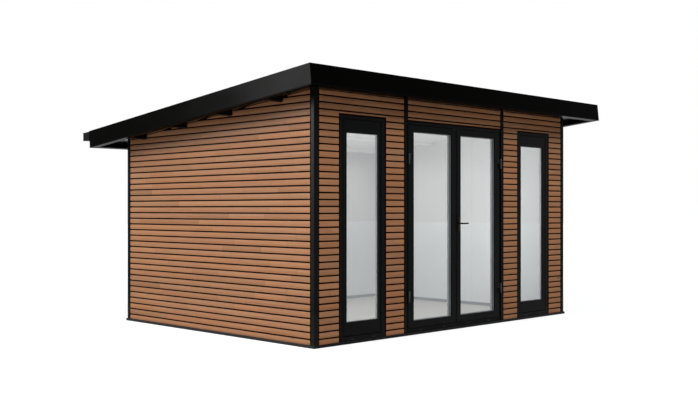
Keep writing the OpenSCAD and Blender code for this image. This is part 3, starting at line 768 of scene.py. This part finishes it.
class Bits:
    """Blocks and screw heads that make up one named piece."""

    BLOCK_FACES = ((0, 2, 3, 1), (4, 5, 7, 6), (0, 1, 5, 4), (2, 6, 7, 3), (0, 4, 6, 2), (1, 3, 7, 5))

    def __init__(self, name, finish, body="building"):
        self.name = name
        self.finish = finish
        self.body = body
        self.verts, self.faces = [], []

    def block(self, x0, x1, y0, y1, z0, z1):
        (x0, x1), (y0, y1), (z0, z1) = sorted((x0, x1)), sorted((y0, y1)), sorted((z0, z1))
        base = len(self.verts)
        self.verts += [(x, y, z) for z in (z0, z1) for y in (y0, y1) for x in (x0, x1)]
        for face in self.BLOCK_FACES:
            self.faces.append(tuple(base + corner for corner in face))

    def ring(self, outline, wide, y0, y1):
        """Rectangular ring just inside the outline x0, x1, z0, z1."""
        x0, x1, z0, z1 = outline
        self.block(x0, x1, y0, y1, z0, z0 + wide)
        self.block(x0, x1, y0, y1, z1 - wide, z1)
        self.block(x0, x0 + wide, y0, y1, z0 + wide, z1 - wide)
        self.block(x1 - wide, x1, y0, y1, z0 + wide, z1 - wide)

    def screw_head(self, x, y, z, radius, tall, toward=FRONT):
        """Domed disc that stands on a point and faces toward."""
        sides = 16
        turn = Vector(toward).to_track_quat("Z", "Y")
        base = len(self.verts)
        profile = ((radius, 0.0), (radius, tall * 0.5), (radius * 0.72, tall))
        for r, height in profile:
            for i in range(sides):
                angle = 2 * math.pi * i / sides
                spoke = Vector((r * math.cos(angle), r * math.sin(angle), height))
                self.verts.append(Vector((x, y, z)) + turn @ spoke)
        self.faces += tube_faces(base, len(profile), sides)

    def build(self, edge=0.0004):
        piece = new_piece(self.name, self.verts, self.faces, self.finish, self.body, 35)
        round_edges(piece, edge, 1, 60)


def grown(outline, by):
    x0, x1, z0, z1 = outline
    return x0 - by, x1 + by, z0 - by, z1 + by


def daylight(ring_node, pane_node):
    """Opening of a glazed ring, as x0, x1, z0, z1: its vertices inside the pane's outline,
    apart from those of the bevels on its two faces."""
    lo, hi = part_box(pane_node)
    ring_lo, ring_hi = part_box(ring_node)
    rim = 0.0005
    inner = [p for p in points_of(ring_node)
             if ring_lo.y + HAIR < p.y < ring_hi.y - HAIR
             and lo.x + rim < p.x < hi.x - rim and lo.z + rim < p.z < hi.z - rim]
    xs = [p.x for p in inner]
    zs = [p.z for p in inner]
    return min(xs), max(xs), min(zs), max(zs)


def glazing(label, ring_node, body, bevel, finish):
    """Seal on the reveal behind the ring's bevel, gaskets on both faces of the glass, and
    the bar between its two panes."""
    seal_thick, gasket_wide, gasket_tall, clear = 0.0015, 0.003, 0.0018, 0.0002
    spacer_wide, spacer_cover, pane_thick = 0.0065, 0.006, 0.004
    ring_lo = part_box(ring_node)[0]
    pane_lo, pane_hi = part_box(label + "_glass")
    opening = daylight(ring_node, label + "_glass")
    seal = Bits(label + "_seal", finish, body)
    seal.ring(opening, seal_thick, ring_lo.y + bevel, pane_lo.y - clear - gasket_tall - clear)
    seal.build()
    gasket = Bits(label + "_gasket", "rubber", body)
    gasket.ring(opening, gasket_wide, pane_lo.y - clear - gasket_tall, pane_lo.y - clear)
    gasket.ring(opening, gasket_wide, pane_hi.y + clear, pane_hi.y + clear + gasket_tall)
    gasket.build()
    spacer = Bits(label + "_spacer", "spacer", body)
    spacer.ring(grown(opening, spacer_cover), spacer_wide,
                pane_lo.y + pane_thick, pane_hi.y - pane_thick)
    spacer.build()


def sash_shadow_joint(label):
    """Rubber joint over the gap between a side window's sash and its frame, near-black and matt as a
    painted shadow of that gap.
    """
    wide, proud, inside = 0.006, 0.0008, 0.0002
    lo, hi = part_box(label + "_sash")
    joint = Bits(label + "_joint", "joint")
    joint.ring(grown((lo.x, hi.x, lo.z, hi.z), -inside), wide, lo.y - proud, lo.y)
    joint.build(0.0002)


def stop_seals():
    """Rubber seals on the stops round the doors."""
    wide, tall, margin = 0.006, 0.0032, 0.004
    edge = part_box("door_right_jamb")[0].x
    stop_y = min(p.y for p in points_of("door_right_jamb") if p.x < edge + HAIR)
    x = edge + margin
    seals = Bits("door_stop_seals", "rubber")
    for sign in (-1, 1):
        seals.block(sign * x, sign * (x + wide), stop_y - tall, stop_y, SILL_TOP, DOOR_TOP)
    for z in (DOOR_TOP + margin, SILL_TOP - margin - wide):
        seals.block(-x, x, stop_y - tall, stop_y, z, z + wide)
    seals.build(0.001)


def hinge_screws(label, body):
    """Three screw heads on each hinge plate of a leaf."""
    radius, tall, from_edge, from_end = 0.0036, 0.0011, 0.012, 0.011
    apart = 0.2                          # plates lie further apart than this
    points = points_of(label + "_hinges")
    near = min(abs(p.x) for p in points)
    plate = [p for p in points if abs(p.x) < near + HAIR]
    x = math.copysign(near + from_edge, plate[0].x)
    face = min(p.y for p in plate)
    screws = Bits(label + "_hinge_screws", "hinge", body)
    for z0, z1 in clusters({round(p.z, 4) for p in plate}, apart):
        for z in (z0 + from_end, (z0 + z1) / 2, z1 - from_end):
            screws.screw_head(x, face, z, radius, tall)
    screws.build(0.0002)


def backplate_screws():
    """A screw head near each end of the handle's two backplates."""
    radius, tall = 0.0034, 0.0009
    cylinder = 0.002                     # the lock cylinder stands this high above its plate
    lo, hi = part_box("handle_plates")
    middle, half = (lo.x + hi.x) / 2, (hi.x - lo.x) / 2
    screws = Bits("backplate_screws", "handle", "right_door")
    for z in (lo.z + half * 0.75, hi.z - half):
        screws.screw_head(middle, lo.y + cylinder, z, radius, tall)
        screws.screw_head(middle, hi.y - cylinder, z, radius, tall, BACK)
    screws.build(0.0002)


def drain_caps():
    """Covers over the drain slots of the window frames' sills and of the threshold."""
    half, low, high, proud = 0.016, 0.010, 0.019, 0.0014
    caps = Bits("drain_caps", "rubber")
    for node, insets in (("left_window_frame", (0.16,)), ("right_window_frame", (0.16,)),
                         ("door_threshold", (0.24, 0.60))):
        lo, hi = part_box(node)
        for inset in insets:
            for x in (lo.x + inset, hi.x - inset):
                caps.block(x - half, x + half, lo.y - proud, lo.y, lo.z + low, lo.z + high)
    caps.build(0.0008)


def roof_seams():
    """Welded laps between the sheets of the roof covering, and a band round its edge."""
    lap_x, lap_half, lap_tall = 0.74, 0.025, 0.0018
    band, band_tall, margin, same = 0.04, 0.0012, 0.024, 0.0002
    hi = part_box("roof_membrane")[1]
    points = points_of("roof_membrane")
    front_z = max(p.z for p in points)
    front_y = max(p.y for p in points if p.z > front_z - same)
    rear_z = max(p.z for p in points if p.y > hi.y - same)
    roof = line_through(front_y, front_z, hi.y, rear_z, 0)
    y0, y1, x1 = front_y + margin, hi.y - margin, hi.x - margin
    seams = Bits("roof_seams", "roof_covering")
    for x in (-lap_x, lap_x):
        seams.block(x - lap_half, x + lap_half, y0, y1, 0.0, lap_tall)
    for x in (-x1, x1 - band):
        seams.block(x, x + band, y0, y1, 0.0, band_tall)
    for y in (y0, y1 - band):
        seams.block(-x1 + band, x1 - band, y, y + band, 0.0, band_tall)
    seams.verts = [(x, y, z + roof(y)) for x, y, z in seams.verts]
    seams.build()


def gutter_bands():
    """Bands round the gutter's joints and its ends."""
    end, wide, proud, tall, lip = 0.001, 0.012, 0.0012, 0.08, 0.004
    joints = (-0.89, 0.85)
    joint_wide = 0.04
    lo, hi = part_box("gutter")
    points = points_of("gutter")
    heights = sorted({round(p.z, 4) for p in points})
    low = heights[1]                     # the trough's underside, above the outlet's end
    outer = max(p.y for p in points if p.z < low + HAIR / 2)
    spans = [(lo.x + end, lo.x + end + wide), (hi.x - end - wide, hi.x - end)]
    spans += [(x, x + joint_wide) for x in joints]
    bands = Bits("gutter_bands", "gutter")
    for x0, x1 in spans:
        bands.block(x0, x1, outer, outer + proud, low - proud, low + tall)
        bands.block(x0, x1, lo.y + lip, outer, low - proud, low)
    bands.build()


WINDOW_BEVEL, LEAF_BEVEL = 0.008, 0.009  # depth of the bevel on the face of each glazed ring
for label in ("left_window", "right_window"):
    glazing(label, label + "_sash", "building", WINDOW_BEVEL, "seal_dark")
    sash_shadow_joint(label)
for side in ("left", "right"):
    # the doors' seals are pale, a painted highlight on their reveals
    glazing(side + "_leaf", side + "_leaf_frame", side + "_door", LEAF_BEVEL, "seal_painted_highlight")
stop_seals()
for side in ("left", "right"):
    hinge_screws(side + "_leaf", side + "_door")
backplate_screws()
drain_caps()
roof_seams()
gutter_bands()


# ---------------------------------------------------------------- studio
def stage_floor():
    """Floor that is pale to the lamps and white to the eye."""
    reach, below = 60, 0.0005
    m = Material("studio_floor", (0.50, 0.50, 0.49), 0.9, 0.1)
    m.link(m.times(m.seen_directly(), 0.72), m.shader.inputs["Emission Strength"])
    m.shader.inputs["Emission Color"].default_value = (1, 1, 1, 1)
    corners = [(-reach, -reach, 0), (reach, -reach, 0), (reach, reach, 0), (-reach, reach, 0)]
    mesh = bpy.data.meshes.new("studio_floor")
    mesh.from_pydata(corners, [], [(0, 1, 2, 3)])
    mesh.materials.append(m.material)
    floor = bpy.data.objects.new("studio_floor", mesh)
    floor.location.z = -below
    scene.collection.objects.link(floor)


def backdrop():
    """Soft cool light all round, which looks plain white to the eye."""
    world = bpy.data.worlds.new("studio")
    world.use_nodes = True
    scene.world = world
    sky = Tree(world.node_tree)
    lit = sky.tree.nodes["Background"]
    lit.inputs["Color"].default_value = (0.97, 0.985, 1.0, 1)
    lit.inputs["Strength"].default_value = 0.20
    seen = sky.add("ShaderNodeBackground", {"Color": (1, 1, 1, 1), "Strength": 1.0})
    both = sky.add("ShaderNodeMixShader", {0: sky.seen_directly(), 1: lit.outputs[0],
                                           2: seen.outputs[0]})
    sky.link(both.outputs[0], sky.tree.nodes["World Output"].inputs["Surface"])


def place_lamp(lamp, place, toward):
    """Puts a lamp in the scene so that it shines in the direction toward."""
    ob = bpy.data.objects.new(lamp.name, lamp)
    ob.location = place
    ob.rotation_mode = "QUATERNION"
    ob.rotation_quaternion = (-Vector(toward)).to_track_quat("Z", "Y")
    scene.collection.objects.link(ob)
    return ob


def sun(name, toward, strength, spread, color=(1, 1, 1)):
    """A far lamp that looks spread degrees wide and shines in the direction toward."""
    lamp = bpy.data.lights.new(name, "SUN")
    lamp.energy = strength
    lamp.angle = math.radians(spread)
    lamp.color = color
    place_lamp(lamp, (0, 0, 0), toward)


def panel_lamp(name, place, toward, size, watts):
    """A rectangular lamp that isn't seen itself, directly or through glass."""
    lamp = bpy.data.lights.new(name, "AREA")
    lamp.shape = "RECTANGLE"
    lamp.size, lamp.size_y = size
    lamp.energy = watts
    ob = place_lamp(lamp, place, toward)
    ob.visible_camera = False
    ob.visible_transmission = False
    return ob


stage_floor()
backdrop()
sun("key", (0.86, -0.30, -0.46), 2.15, 35)
sun("fill", (0.22, 0.66, -0.66), 1.55, 40, (1.0, 1.05, 1.17))

# the room's own light, which nothing mirrors: place, direction, size and watts
ROOM_LAMPS = {
    "room_down": ((0, 0.6, 1.9), (0, 0, -1), (3.2, 1.2), 10.5),
    "room_up": ((0.4, -0.1, 0.9), (0.2, 0, 1), (2.4, 1.4), 4),
    "room_back": ((0.0, -0.8, 1.2), (0.25, 1, 0), (2.4, 1.5), 11),
    "room_front": ((-1.2, 0.9, 1.3), (0.8, -1, 0), (1.6, 1.4), 8),
    "room_side": ((0.8, -1.0, 1.3), (1, -0.15, 0.1), (0.8, 1.0), 5),
}
for name, lamp in ROOM_LAMPS.items():
    panel_lamp(name, *lamp).visible_glossy = False

# a card that only shows as a soft reflection in the metal on the left
CARD_PLACE = Vector((-9.5, 3.2, 3.6))
CARD_TARGET = Vector((-2.3, -1.2, 2.2))
card = panel_lamp("card", CARD_PLACE, CARD_TARGET - CARD_PLACE, (6.0, 3.0), 3300)
card.visible_diffuse = False

scene.view_settings.view_transform = "Standard"
